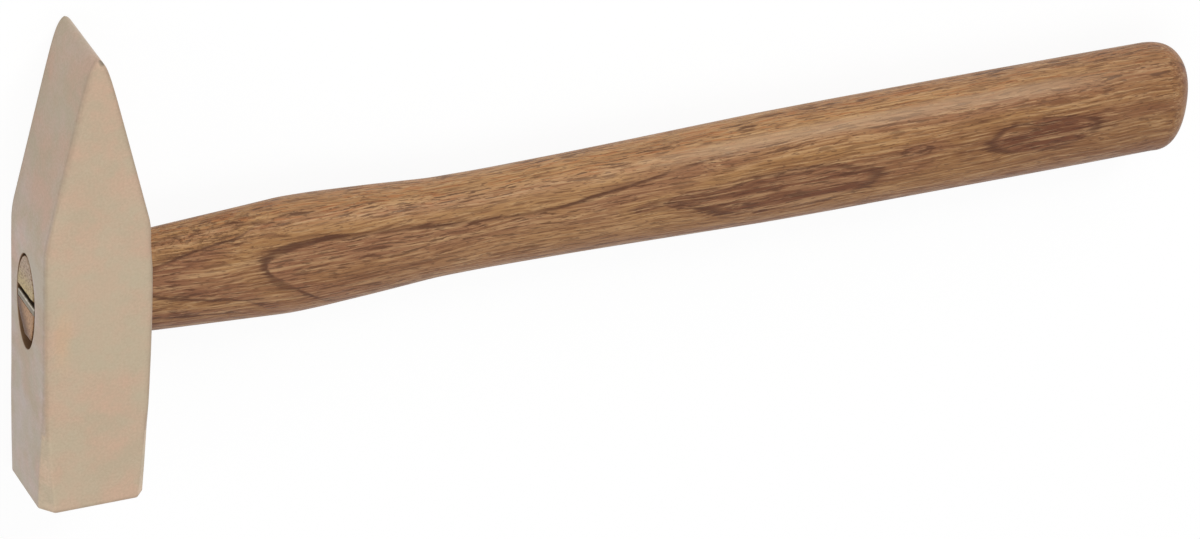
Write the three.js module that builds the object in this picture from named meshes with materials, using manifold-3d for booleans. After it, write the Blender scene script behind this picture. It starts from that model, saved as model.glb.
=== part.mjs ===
// A cross-peen bench hammer: bronze head, hardwood handle and the flat steel wedge that locks them.
// The hammer lies on one cheek. X runs along the handle to the grip end, Y towards the peen and
// Z up through the thickness of the head. The origin is on the lower cheek, below the eye's centre.
import * as THREE from 'three';
import { mergeVertices } from 'three/addons/utils/BufferGeometryUtils.js';
import Module from 'manifold-3d';

const wasm = await Module();
wasm.setup();

// Driving dimensions, in millimetres, measured from the centre of the eye
const head = {
  halfThickness: 12.2, // along Z, from the handle's axis to a cheek
  tipY: 71.88,
  tipX: -0.63, // the peen's edge lies this far off the middle
  noseStart: 24, // the slopes begin to bend in this far from the tip
  noseLength: 1.2, // and lose most of their width within about this
  nosePower: 0.68,
  edgeRadius: 1.1, // rounding of the long edges
  rimRadius: 0.95, // rounding round the striking face
};
const flanks = [ // how far the head reaches to -X and to +X, from the striking face to the shoulder
  { y: -55.6, left: 13.7, right: 13.6 },
  { y: -45, left: 13.78, right: 13.8 },
  { y: -35, left: 13.72, right: 13.9 },
  { y: -25, left: 13.68, right: 14.22 },
  { y: -14, left: 13.78, right: 14.5 },
  { y: -5, left: 13.85, right: 14.6 },
  { y: 5, left: 13.92, right: 14.57 },
  { y: 11, left: 14, right: 14.45 },
  { y: 14.5, left: 14, right: 14.1 },
  { y: 18, left: 14, right: 13.85 },
];
const slopes = { // the peen's two slopes, each a straight line through one point
  left: { y: 20.5, reach: 14, fall: 0.2193 },
  right: { y: 22.7, reach: 13.93, fall: 0.2548 },
};
const shoulder = { startY: 18.4, endY: 26.4, softness: 0.7 }; // where the flanks turn into the slopes
const facetStartInset = 0.3; // of the corner facets' upper ends, from the head's full width
const facetStartY = -25;
const cornerFacets = [ // the hand-cut facets that narrow the striking face, each with its own size
  { sx: -1, sz: 1, cheek: 3.2, side: 3.7 }, // cut from the face's edges along the cheek and the side
  { sx: 1, sz: 1, cheek: 2.2, side: 2.5 },
  { sx: -1, sz: -1, cheek: 2, side: 2.2 },
  { sx: 1, sz: -1, cheek: 2.2, side: 2.2 },
];
const eye = [ // half height along Y and half width along Z of the oval hole, at each X
  { x: -15.2, y: 13.57, z: 6.45 },
  { x: -13.9, y: 13.45, z: 6.35 },
  { x: -7, y: 12.8, z: 5.8 },
  { x: 0, y: 12.4, z: 5.55 },
  { x: 7, y: 13.05, z: 6.9 },
  { x: 14.3, y: 14.1, z: 8.3 },
  { x: 16, y: 14.35, z: 8.6 },
];
const eyeLean = { // the eye runs slightly askew: its outer mouth lies this far off the head's middle
  innerX: 14.3,
  outerX: -13.9,
  y: -0.6,
  z: -1.3,
};
const fitGap = 0.35; // clearance all round between the tenon and the eye

const tenon = { // the wood in the eye's outer mouth
  endX: -13.85,
  mouthY: 12.6,
  mouthZ: 5.85,
  shiftY: -0.15, // off the eye's centre, which leaves a gap over the top and down the near side
  shiftZ: -0.35,
  fillsFromX: -8, // from here on the wood fills the eye
};
const pares = [ // planes that bevel the tenon's lower half: two points on its end and a deeper one
  { first: [-13.85, -4, -7.3], second: [-13.85, -10.3, -1.6], deep: [-6, -9.5, -7.04] },
  { first: [-13.85, -10.2, -3.3], second: [-13.85, -9.9, 3.7], deep: [-5, -13.2, 0.7] },
];
const neckAndGrip = [ // half height along Y and half thickness along Z of the handle, at each X
  { x: 21, y: 14.2, z: 8.4 },
  { x: 38, y: 14.95, z: 9.4 },
  { x: 54, y: 15.6, z: 10.25 },
  { x: 62, y: 15.35, z: 10.3 },
  { x: 78, y: 14.3, z: 10.1 },
  { x: 94, y: 13.05, z: 9.75 },
  { x: 108, y: 12.95, z: 9.7 },
  { x: 132, y: 13.3, z: 10.05 },
  { x: 156, y: 13.85, z: 10.4 },
  { x: 184, y: 14.55, z: 10.8 },
  { x: 204, y: 14.75, z: 10.9 },
  { x: 250, y: 14.85, z: 10.95 },
  { x: 276, y: 14.85, z: 10.95 },
  { x: 295.2, y: 14.85, z: 10.42 },
];
const gripEnd = { // the dome that closes the grip
  startX: 295.2,
  endX: 305.75,
  roundness: 2.55,
  leanY: 0.078, // how much further it reaches for each millimetre off the axis
  leanZ: -0.131,
  sag: -1, // shift of its crown along Y
};
const ovalPower = { tenon: 2, grip: 2.25 }; // 2 is an ellipse, more is squarer
const weldDistance = 1e-4;
const thinCorner = 0.8; // where the peen is thin, its corners are rounded by this part of its half width
const endShort = 0.5; // the fraction of a step by which the last ring stops short of a pole

const kerf = { // the saw cut across the tenon, open at the wood's end
  mouthLow: -1.9,
  mouthHigh: 2.05,
  throatX: -7, // the chipped upper lip ends here
  throatLow: -1.6,
  throatHigh: 0.5,
  endX: 9,
  endHalf: 0.5,
  endY: -0.7,
};
const wedge = { // the steel wedge in the kerf, thick and wide end outwards
  outerX: -13.8,
  innerX: 6.5,
  outerHalf: 0.95,
  innerHalf: 0.22,
  centreY: -0.85,
  outerLowZ: -7,
  outerHighZ: 4.4,
  innerLowZ: -5.4,
  innerHighZ: 4.6,
  barbs: 4,
  barbDepth: 0.14,
};

// Numbers of steps along each curve
const steps = { edge: 3, shoulder: 8, nose: 12, ring: 36, eye: 12, handle: 36, dome: 7 };

// Turns a closed geometry into a manifold solid.
function solidOf(geometry) {
  const bare = geometry.clone();
  for (const name of ['normal', 'uv']) bare.deleteAttribute(name);
  const merged = mergeVertices(bare, weldDistance);
  return new wasm.Manifold(new wasm.Mesh({
    numProp: 3,
    vertProperties: new Float32Array(merged.attributes.position.array),
    triVerts: new Uint32Array(merged.index.array),
  }));
}

// Turns a manifold solid back into a geometry with flat faces.
function geometryOf(solid) {
  const mesh = solid.getMesh();
  const geometry = new THREE.BufferGeometry();
  geometry.setAttribute('position', new THREE.BufferAttribute(mesh.vertProperties, 3));
  geometry.setIndex(new THREE.BufferAttribute(mesh.triVerts, 1));
  geometry.computeVertexNormals();
  return geometry;
}

// An oval ring in the plane at x, counter-clockwise as seen from +X.
function ovalRing({ x, y, z }, power, shiftY = 0, shiftZ = 0) {
  const ring = [];
  for (let i = 0; i < steps.ring; i += 1) {
    const angle = (i / steps.ring) * 2 * Math.PI;
    const c = Math.cos(angle);
    const s = Math.sin(angle);
    const bend = 2 / power;
    ring.push(new THREE.Vector3(
      x,
      shiftY + y * Math.sign(c) * Math.abs(c) ** bend,
      shiftZ + z * Math.sign(s) * Math.abs(s) ** bend,
    ));
  }
  return ring;
}

// A closed skin over rings of equal count, each counter-clockwise as seen from where the row of
// rings leads to, with a fan of triangles on each end.
function skinOver(rings) {
  const count = rings[0].length;
  const points = rings.flat();
  const faces = [];
  for (let r = 0; r + 1 < rings.length; r += 1) {
    for (let i = 0; i < count; i += 1) {
      const a = r * count + i;
      const b = r * count + ((i + 1) % count);
      faces.push(a, b, b + count, a, b + count, a + count);
    }
  }
  const middle = (ring) => ring.reduce((sum, p) => sum.add(p), new THREE.Vector3()).divideScalar(count);
  const lastRing = (rings.length - 1) * count;
  points.push(middle(rings[0]), middle(rings[rings.length - 1]));
  for (let i = 0; i < count; i += 1) {
    const next = (i + 1) % count;
    faces.push(points.length - 2, next, i);
    faces.push(points.length - 1, lastRing + i, lastRing + next);
  }
  const geometry = new THREE.BufferGeometry().setFromPoints(points);
  geometry.setIndex(faces);
  return geometry;
}

// Evenly spaced sections on a smooth curve through the listed ones.
function smoothSections(sections, count) {
  const curve = new THREE.CatmullRomCurve3(
    sections.map((s) => new THREE.Vector3(s.x, s.y, s.z)), false, 'centripetal');
  return curve.getSpacedPoints(count);
}

// Points at equal turns round a quarter circle, as fractions across and along.
function quarterTurn(count) {
  return Array.from({ length: count + 1 }, (_, i) => {
    const angle = (i / count) * (Math.PI / 2);
    return { across: Math.sin(angle), along: Math.cos(angle) };
  });
}

// The striking face and the quarter turn of its rim.
function faceSections() {
  const { y, left, right } = flanks[0];
  return quarterTurn(steps.edge).map(({ across, along }) => {
    const back = head.rimRadius * (1 - across);
    return {
      y: y + head.rimRadius * (1 - along),
      left: left - back,
      right: right - back,
      z: head.halfThickness - back,
    };
  });
}

// How far a peen slope reaches at y.
function slopeReach(slope, y) {
  return slope.reach - slope.fall * (y - slope.y);
}

// The lesser of a flank's and a slope's reach, with the corner between the two rounded off.
function shoulderReach(flankReach, slope, y) {
  const sloping = slopeReach(slope, y);
  const overlap = Math.max(0, shoulder.softness - Math.abs(flankReach - sloping));
  return Math.min(flankReach, sloping) - overlap ** 2 / (4 * shoulder.softness);
}

// The soft shoulder, where the flanks end and the peen's slopes begin.
function shoulderSections() {
  const { left, right } = flanks[flanks.length - 1];
  return Array.from({ length: steps.shoulder + 1 }, (_, i) => {
    const y = shoulder.startY + (i / steps.shoulder) * (shoulder.endY - shoulder.startY);
    return {
      y,
      left: shoulderReach(left, slopes.left, y),
      right: shoulderReach(right, slopes.right, y),
      z: head.halfThickness,
    };
  });
}

// The peen's nose, where the slopes' distance from its edge dies away like an exponential. The rings
// crowd towards the tip, and the last stops half a step short of it, where the end fan closes it.
function noseSections() {
  const { halfThickness, tipY, tipX, noseStart, noseLength, nosePower } = head;
  return Array.from({ length: steps.nose + 1 }, (_, i) => {
    const toTip = noseStart * (1 - i / (steps.nose + endShort)) ** 2;
    const y = tipY - toTip;
    const share = 1 - Math.exp(-((toTip / noseLength) ** nosePower));
    return {
      y,
      left: (slopeReach(slopes.left, y) + tipX) * share - tipX,
      right: (slopeReach(slopes.right, y) - tipX) * share + tipX,
      z: halfThickness,
    };
  });
}

// A rectangle with rounded corners in the plane at y, counter-clockwise as seen from +Y.
function boxRing({ y, left, right, z }) {
  const radius = Math.min(head.edgeRadius, thinCorner * (left + right) / 2);
  const ring = [];
  for (const [sz, sx] of [[1, 1], [-1, 1], [-1, -1], [1, -1]]) {
    const side = sx > 0 ? right : -left;
    const turn = quarterTurn(steps.edge);
    if (sz !== sx) turn.reverse();
    for (const { across, along } of turn) {
      ring.push(new THREE.Vector3(
        side - sx * radius * (1 - across), y, sz * (z - radius * (1 - along))));
    }
  }
  return ring;
}

// A block whose one face lies on the plane through three points, on the side that outward points to.
function cutterOutside(a, b, c, outward) {
  const size = 2 * (head.tipY - flanks[0].y);
  const normal = new THREE.Vector3().crossVectors(b.clone().sub(a), c.clone().sub(a)).normalize();
  if (normal.dot(outward) < 0) normal.negate();
  const along = b.clone().sub(a).normalize();
  const across = new THREE.Vector3().crossVectors(normal, along);
  const block = new THREE.BoxGeometry(size, size, size);
  block.translate(0, 0, size / 2);
  block.applyMatrix4(new THREE.Matrix4().makeBasis(along, across, normal).setPosition(a));
  return solidOf(block);
}

// The four facets that run from the striking face up the corners and fade out.
function facetCutters() {
  const z = head.halfThickness;
  const face = flanks[0];
  const start = flanks.find((f) => f.y === facetStartY);
  return cornerFacets.map(({ sx, sz, cheek, side }) => {
    const key = sx > 0 ? 'right' : 'left';
    return cutterOutside(
      new THREE.Vector3(sx * (start[key] - facetStartInset), start.y, sz * z),
      new THREE.Vector3(sx * (face[key] - cheek), face.y, sz * z),
      new THREE.Vector3(sx * face[key], face.y, sz * (z - side)),
      new THREE.Vector3(sx, 0, sz),
    );
  });
}

// Where the eye's middle lies at x.
function eyeMiddle(x) {
  const part = Math.max(0, (eyeLean.innerX - x) / (eyeLean.innerX - eyeLean.outerX));
  return { y: part * eyeLean.y, z: part * eyeLean.z };
}

function headGeometry() {
  const sides = flanks.slice(1).map((f) => ({ ...f, z: head.halfThickness }));
  const sections = [...faceSections(), ...sides, ...shoulderSections(), ...noseSections()];
  const block = skinOver(sections.map(boxRing));
  const eyeHole = skinOver(smoothSections(eye, steps.eye).map((s) => {
    const middle = eyeMiddle(s.x);
    return ovalRing(s, ovalPower.tenon, middle.y, middle.z);
  }));
  let solid = solidOf(block).subtract(solidOf(eyeHole));
  for (const cutter of facetCutters()) solid = solid.subtract(cutter);
  return geometryOf(solid);
}

// The tenon follows the eye's own waist and lean with an even gap and is shifted in the outer mouth.
function tenonRings() {
  const mouthX = eye[eye.length - 1].x;
  const inside = eye.filter((s) => s.x > tenon.fillsFromX && s.x < mouthX);
  const sections = [
    { x: tenon.endX, y: tenon.mouthY, z: tenon.mouthZ },
    ...inside.map((s) => ({ x: s.x, y: s.y - fitGap, z: s.z - fitGap })),
  ];
  return sections.map((s) => {
    const part = Math.max(0, Math.min(1, s.x / tenon.endX));
    const middle = eyeMiddle(s.x);
    return ovalRing(
      s, ovalPower.tenon, middle.y + part * tenon.shiftY, middle.z + part * tenon.shiftZ);
  });
}

// The neck and grip change from a true oval to the squarer grip section within the neck.
function gripRings() {
  const first = neckAndGrip[0].x;
  const squareBy = neckAndGrip[2].x;
  return smoothSections(neckAndGrip, steps.handle).map((s) => {
    const part = Math.min(1, (s.x - first) / (squareBy - first));
    return ovalRing(s, ovalPower.tenon + part * (ovalPower.grip - ovalPower.tenon));
  });
}

// The dome shrinks the last section along a squarish quarter curve, leans and sags a little, and
// its end fan closes it.
function domeRings() {
  const last = neckAndGrip[neckAndGrip.length - 1];
  const { startX, endX, roundness, leanY, leanZ, sag } = gripEnd;
  const base = ovalRing(last, ovalPower.grip);
  return Array.from({ length: steps.dome }, (_, i) => {
    const along = Math.sin(((i + 1) / (steps.dome + endShort)) * (Math.PI / 2)) ** (2 / roundness);
    const scale = (1 - along ** roundness) ** (1 / roundness);
    return base.map((p) => {
      const lean = scale * (leanY * p.y + leanZ * p.z);
      const x = startX + (endX - startX + lean) * along;
      return new THREE.Vector3(x, p.y * scale + sag * along, p.z * scale);
    });
  });
}

// The cutters that bevel the lower half of the tenon's end.
function pareCutters() {
  return pares.map(({ first, second, deep }) => {
    const [a, b, c] = [first, second, deep].map((place) => new THREE.Vector3(...place));
    return cutterOutside(a, b, c, new THREE.Vector3(0, c.y, c.z));
  });
}

function handleGeometry() {
  let wood = solidOf(skinOver([...tenonRings(), ...gripRings(), ...domeRings()]));
  for (const cutter of pareCutters()) wood = wood.subtract(cutter);
  const k = kerf;
  const cut = new THREE.Shape([
    new THREE.Vector2(tenon.endX - 1, k.mouthLow),
    new THREE.Vector2(k.throatX, k.throatLow),
    new THREE.Vector2(k.endX, k.endY - k.endHalf),
    new THREE.Vector2(k.endX, k.endY + k.endHalf),
    new THREE.Vector2(k.throatX, k.throatHigh),
    new THREE.Vector2(tenon.endX, k.mouthHigh),
    new THREE.Vector2(tenon.endX - 1, k.mouthHigh),
  ]);
  const through = 2 * head.halfThickness;
  const slot = new THREE.ExtrudeGeometry(cut, { depth: through, bevelEnabled: false });
  slot.translate(0, 0, -through / 2);
  return geometryOf(wood.subtract(solidOf(slot)));
}

// The wedge's outline seen along Z, with saw-tooth barbs on both faces that point outwards. Its two
// edges draw in towards the thin end.
function wedgeGeometry() {
  const w = wedge;
  const length = w.innerX - w.outerX;
  const halfAt = (x) => w.outerHalf + ((x - w.outerX) / length) * (w.innerHalf - w.outerHalf);
  const upper = [new THREE.Vector2(w.outerX, halfAt(w.outerX))];
  const pitch = length / (w.barbs + 2);
  for (let i = 1; i <= w.barbs; i += 1) {
    const x = w.outerX + i * pitch;
    upper.push(new THREE.Vector2(x, halfAt(x) - w.barbDepth));
    upper.push(new THREE.Vector2(x + w.barbDepth, halfAt(x + w.barbDepth)));
  }
  upper.push(new THREE.Vector2(w.innerX, halfAt(w.innerX)));
  const outline = [
    ...upper.map((p) => new THREE.Vector2(p.x, w.centreY + p.y)),
    ...upper.reverse().map((p) => new THREE.Vector2(p.x, w.centreY - p.y)),
  ];
  const body = new THREE.ExtrudeGeometry(new THREE.Shape(outline), { depth: 1, bevelEnabled: false });
  const places = body.attributes.position;
  for (let i = 0; i < places.count; i += 1) {
    const part = (places.getX(i) - w.outerX) / length;
    const low = THREE.MathUtils.lerp(w.outerLowZ, w.innerLowZ, part);
    const high = THREE.MathUtils.lerp(w.outerHighZ, w.innerHighZ, part);
    places.setZ(i, THREE.MathUtils.lerp(low, high, places.getZ(i)));
  }
  return geometryOf(solidOf(body));
}

function bronze() {
  return new THREE.MeshStandardMaterial({ color: '#c3ab93', roughness: 0.45, metalness: 0.8 });
}

function hardwood() {
  return new THREE.MeshStandardMaterial({ color: '#94694a', roughness: 0.6, metalness: 0 });
}

function steel() {
  return new THREE.MeshStandardMaterial({ color: '#9a9a96', roughness: 0.4, metalness: 0.9 });
}

function piece(name, geometry, material) {
  const mesh = new THREE.Mesh(geometry, material);
  mesh.name = name;
  return mesh;
}

const hammer = new THREE.Group();
hammer.add(piece('head', headGeometry(), bronze()));
hammer.add(piece('handle', handleGeometry(), hardwood()));
hammer.add(piece('wedge', wedgeGeometry(), steel()));
hammer.position.z = head.halfThickness; // the lower cheek rests on the ground plane
hammer.updateMatrixWorld(true);

export default hammer;
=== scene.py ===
# A cross-peen bench hammer: a pale bronze head, a shaped hardwood handle and the steel wedge that
# locks them. It lies on one cheek. X runs along the handle, Y towards the peen, Z up.
import bmesh
import bpy
import math
import numpy as np
from mathutils import Matrix, Vector


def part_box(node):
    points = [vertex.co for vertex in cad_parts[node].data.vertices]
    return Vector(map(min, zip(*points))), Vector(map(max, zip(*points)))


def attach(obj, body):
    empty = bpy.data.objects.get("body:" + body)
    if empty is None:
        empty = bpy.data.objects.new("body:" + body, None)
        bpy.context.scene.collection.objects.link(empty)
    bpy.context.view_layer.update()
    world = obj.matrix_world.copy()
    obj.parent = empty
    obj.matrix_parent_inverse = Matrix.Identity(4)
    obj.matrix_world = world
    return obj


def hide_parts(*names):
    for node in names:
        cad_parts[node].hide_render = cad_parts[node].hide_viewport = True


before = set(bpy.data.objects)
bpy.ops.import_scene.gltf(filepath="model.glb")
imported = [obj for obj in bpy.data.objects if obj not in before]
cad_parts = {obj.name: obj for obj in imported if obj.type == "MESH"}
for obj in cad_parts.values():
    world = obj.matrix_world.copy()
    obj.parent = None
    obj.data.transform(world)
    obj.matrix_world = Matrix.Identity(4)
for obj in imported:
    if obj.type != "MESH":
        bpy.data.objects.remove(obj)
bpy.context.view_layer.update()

mm = 0.001  # shapes below are worked out in millimetres
headLow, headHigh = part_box("head")
handleLow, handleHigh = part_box("handle")
wedgeLow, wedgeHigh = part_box("wedge")
axisZ = (headLow.z + headHigh.z) / 2 / mm  # height of the handle's axis above the lower cheek
print("frame loaded, axis height", round(axisZ, 2), "mm")


def quarterTurn(count):
    # Angles from 0 to a right angle, evenly spaced
    return np.linspace(0, math.pi / 2, count + 1)


def smoothThrough(knots, at, softness):
    # Straight pieces through the knots, averaged over a window of +-softness: a soft curve
    knotX, knotY = np.array(knots, float).T
    shifts = np.linspace(-1, 1, 13)
    weights = np.cos(shifts * math.pi / 2) ** 2 + 1e-3
    total = sum(w * np.interp(at + s * softness, knotX, knotY) for s, w in zip(shifts, weights))
    return total / weights.sum()


def softWander(points, wavelength, seed, waves=7):
    # A sum of sine waves in random directions: a smooth bumpy field between about -1 and 1
    random = np.random.default_rng(seed)
    directions = random.normal(size=(waves, 3))
    directions /= np.linalg.norm(directions, axis=1)[:, None]
    stretch = random.uniform(0.6, 1.5, waves)
    phases = random.uniform(0, 2 * math.pi, waves)
    scaled = points / np.asarray(wavelength) * 2 * math.pi
    waveSum = np.sin(scaled @ (directions * stretch[:, None]).T + phases).sum(axis=1)
    return waveSum / math.sqrt(waves / 2) / 2


def hump(at, centre, reach):
    # A bell curve: 1 at its centre and about a third at its reach
    return np.exp(-((at - centre) / reach) ** 2)


def gridFaces(rows, columns):
    # Quads between neighbouring rows of a grid whose rows close on themselves
    row = np.arange(rows - 1)[:, None] * columns
    column = np.arange(columns)[None, :]
    following = (column + 1) % columns
    return np.stack([row + column, row + following, row + following + columns, row + column + columns], -1)


def stripFaces(first, second):
    # Quads between two closed rings, given as point numbers
    return np.stack([first, np.roll(first, -1), np.roll(second, -1), second], -1)


def finishShading(mesh, sharpAngle):
    # Smooth faces, with edges that turn by more than the angle kept sharp
    mesh.polygons.foreach_set("use_smooth", np.ones(len(mesh.polygons), bool))
    mesh.set_sharp_from_angle(angle=math.radians(sharpAngle))
    mesh.update()


def pointsOf(mesh):
    # The mesh's points in millimetres about the handle's axis
    flat = np.empty(len(mesh.vertices) * 3)
    mesh.vertices.foreach_get("co", flat)
    return flat.reshape(-1, 3) / mm - (0, 0, axisZ)


def storeField(mesh, name, values):
    # One number for each point, which materials read by its name
    attribute = mesh.attributes.new(name, "FLOAT", "POINT")
    attribute.data.foreach_set("value", np.ascontiguousarray(values, np.float32))


def addObject(name, data):
    # A new object of the data, in the scene
    added = bpy.data.objects.new(name, data)
    bpy.context.scene.collection.objects.link(added)
    return added


def newMesh(name, points, faces, fields=None):
    # A mesh of points, in millimetres about the handle's axis, with its fields. Seams and poles
    # close, faces without area go, and the rest point outwards.
    mesh = bpy.data.meshes.new(name)
    mesh.from_pydata(((points.reshape(-1, 3) + (0, 0, axisZ)) * mm).tolist(), [], faces)
    for field, values in (fields or {}).items():
        storeField(mesh, field, values)
    shape = bmesh.new()
    shape.from_mesh(mesh)
    bmesh.ops.remove_doubles(shape, verts=shape.verts, dist=1e-7)
    bmesh.ops.dissolve_degenerate(shape, edges=shape.edges, dist=1e-8)
    bmesh.ops.recalc_face_normals(shape, faces=shape.faces)
    if shape.calc_volume(signed=True) < 0:
        bmesh.ops.reverse_faces(shape, faces=shape.faces)
    shape.to_mesh(mesh)
    shape.free()
    return mesh


def makePiece(name, points, quads, material, sharpAngle, fields=None):
    # A finished piece, which takes the place of the frame's node
    mesh = newMesh(name, points, quads.reshape(-1, 4).tolist(), fields)
    piece = addObject(name, mesh)
    finishShading(mesh, sharpAngle)
    mesh.materials.append(material)
    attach(piece, "root")
    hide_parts(name.replace("Finished", ""))
    print(name, len(mesh.vertices), "vertices")
    return piece


def screenColor(red, green, blue):
    # A colour as it looks on a screen, 0 to 255, turned into the linear values that nodes use
    srgb = np.array([red, green, blue]) / 255
    linear = np.where(srgb <= 0.04045, srgb / 12.92, ((srgb + 0.055) / 1.055) ** 2.4)
    return (*linear.tolist(), 1.0)


def addNode(tree, kind, inputs=None, **settings):
    # Adds a node, sets its options, and feeds each named or numbered input a value or a link
    node = tree.nodes.new(kind)
    for key, value in settings.items():
        setattr(node, key, value)
    for key, value in (inputs or {}).items():
        if isinstance(value, bpy.types.NodeSocket):
            tree.links.new(value, node.inputs[key])
        else:
            node.inputs[key].default_value = value
    return node


def blend(tree, factor, low, high):
    # Colours low and high mixed by factor, where each is a link or a screen colour
    low, high = (end if isinstance(end, bpy.types.NodeSocket) else screenColor(*end) for end in (low, high))
    return addNode(tree, "ShaderNodeMix", {0: factor, 6: low, 7: high}, data_type="RGBA").outputs[2]


def remap(tree, value, fromLow, fromHigh, toLow=0.0, toHigh=1.0, smooth=True):
    # A value moved from one range to another and kept inside it
    kind = "SMOOTHSTEP" if smooth else "LINEAR"
    settings = {0: value, 1: fromLow, 2: fromHigh, 3: toLow, 4: toHigh}
    return addNode(tree, "ShaderNodeMapRange", settings, interpolation_type=kind).outputs[0]


def calculate(tree, operation, first, second=0.0):
    # One step of arithmetic on one or two numbers
    return addNode(tree, "ShaderNodeMath", {0: first, 1: second}, operation=operation).outputs[0]


def times(tree, first, *others):
    # The product of two or more numbers
    for other in others:
        first = calculate(tree, "MULTIPLY", first, other)
    return first


def weighted(tree, *parts):
    # The sum of numbers, each times its weight
    total = 0.0
    for value, weight in parts:
        total = calculate(tree, "ADD", times(tree, value, weight), total)
    return total


def plateau(tree, value, start, full, fading, end):
    # 1 between full and fading, and 0 before start and after end
    return times(tree, remap(tree, value, start, full), remap(tree, value, end, fading))


def vectorMath(tree, operation, first, second=(0, 0, 0)):
    # One step of arithmetic on vectors. A length, a distance and a dot product are numbers.
    node = addNode(tree, "ShaderNodeVectorMath", {0: first, 1: second}, operation=operation)
    return node.outputs["Value" if operation in ("LENGTH", "DISTANCE", "DOT_PRODUCT") else "Vector"]


def separate(tree, vector):
    # The X, Y and Z of a vector
    return addNode(tree, "ShaderNodeSeparateXYZ", {0: vector}).outputs


def millimetrePlace(tree):
    # Object coordinates in millimetres
    return vectorMath(tree, "MULTIPLY", addNode(tree, "ShaderNodeTexCoord").outputs["Object"], (1 / mm,) * 3)


def objectNormal(tree):
    # The X, Y and Z of the way the surface faces, in the object's own directions
    return separate(tree, addNode(tree, "ShaderNodeTexCoord").outputs["Normal"])


def fieldOf(tree, name):
    return addNode(tree, "ShaderNodeAttribute", attribute_name=name).outputs["Fac"]


def noiseAt(tree, place, scale, detail=2.0, roughness=0.5, stretch=(1, 1, 1), shift=(0, 0, 0), output="Fac"):
    # Noise in millimetre coordinates; stretch below 1 draws the pattern out along that axis
    mapping = addNode(tree, "ShaderNodeMapping", {"Vector": place, "Location": shift, "Scale": stretch})
    settings = {"Vector": mapping.outputs[0], "Scale": scale, "Detail": detail, "Roughness": roughness}
    return addNode(tree, "ShaderNodeTexNoise", settings).outputs[output]


def painted(tree, tone, look, coats, values):
    # The tone under coats of paint. Each coat names a colour of the look, a strength and the value
    # it follows, with where it begins and where it is full. Without these the value is its mask.
    for color, strength, name, *reach in coats:
        mask = remap(tree, values[name], *reach) if reach else values[name]
        tone = blend(tree, times(tree, mask, strength), tone, look[color])
    return tone


def newGroup(name, inputs, output):
    # An empty shader group with the named inputs and one number put out
    group = bpy.data.node_groups.new(name, "ShaderNodeTree")
    for label, kind in inputs.items():
        group.interface.new_socket(label, in_out="INPUT", socket_type="NodeSocket" + kind)
    group.interface.new_socket(output, in_out="OUTPUT", socket_type="NodeSocketFloat")
    start, end = (group.nodes.new("NodeGroup" + kind) for kind in ("Input", "Output"))
    return group, start.outputs, end.inputs[output]


def useGroup(tree, group, inputs):
    # The outputs of a shader group placed in a material with its own values
    return addNode(tree, "ShaderNodeGroup", inputs, node_tree=group).outputs


def newMaterial(name):
    material = bpy.data.materials.new(name)
    material.use_nodes = True
    tree = material.node_tree
    return material, tree, tree.nodes["Principled BSDF"].inputs


def finishMaterial(tree, shader, look, tone, rough, height):
    # Links what changes over the surface and sets what is even all over it
    bump = addNode(tree, "ShaderNodeBump", {
        "Height": height, "Strength": look["bump"], "Distance": look["bumpDistance"] * mm})
    tree.links.new(tone, shader["Base Color"])
    tree.links.new(rough, shader["Roughness"])
    tree.links.new(bump.outputs[0], shader["Normal"])
    shader["Metallic"].default_value = look["metallic"]
    shader["Specular IOR Level"].default_value = look["specular"]


noiseRange = (0.3, 0.7)  # most of a noise lies between these
groupLook = {
    "finer": 3.7, "finerShare": 0.45, "cloudRange": (0.52, 0.93),
    "rubDetail": 4.0, "rubRange": (0.35, 0.65), "leastRub": 0.35,
}


def cloudGroup():
    # Soft uneven tone: two sizes of noise added and stretched to run from 0 to 1
    group, given, wanted = newGroup("SoftClouds", {"Place": "Vector", "Size": "Float"}, "Cloud")
    scale = calculate(group, "DIVIDE", 1.0, given["Size"])
    large = noiseAt(group, given["Place"], scale)
    small = noiseAt(group, given["Place"], times(group, scale, groupLook["finer"]), detail=3.0)
    both = weighted(group, (large, 1.0), (small, groupLook["finerShare"]))
    group.links.new(remap(group, both, *groupLook["cloudRange"]), wanted)
    return group


def edgeRubGroup():
    # A mask that follows the piece's edges and breaks up along them
    group, given, wanted = newGroup("EdgeRub", {"Place": "Vector", "Edge": "Float", "Size": "Float"}, "Rub")
    scale = calculate(group, "DIVIDE", 1.0, given["Size"])
    patch = noiseAt(group, given["Place"], scale, groupLook["rubDetail"])
    uneven = remap(group, patch, *groupLook["rubRange"], groupLook["leastRub"])
    group.links.new(times(group, given["Edge"], uneven), wanted)
    return group


softClouds = cloudGroup()
edgeRub = edgeRubGroup()

view = {  # the photograph's long lens, fitted to the hammer's outline
    "imageWidth": 1200, "imageHeight": 539,
    "focal": 8000,  # pixels
    "pixelsPerMillimetre": 4.06,
    "eyeCentre": (80.39, 292.14),  # pixels
    "azimuth": -25.35, "elevation": 31.09, "roll": -3.15,  # degrees, with Y as the picture's up
    "sensor": 36,  # millimetres
}


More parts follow.
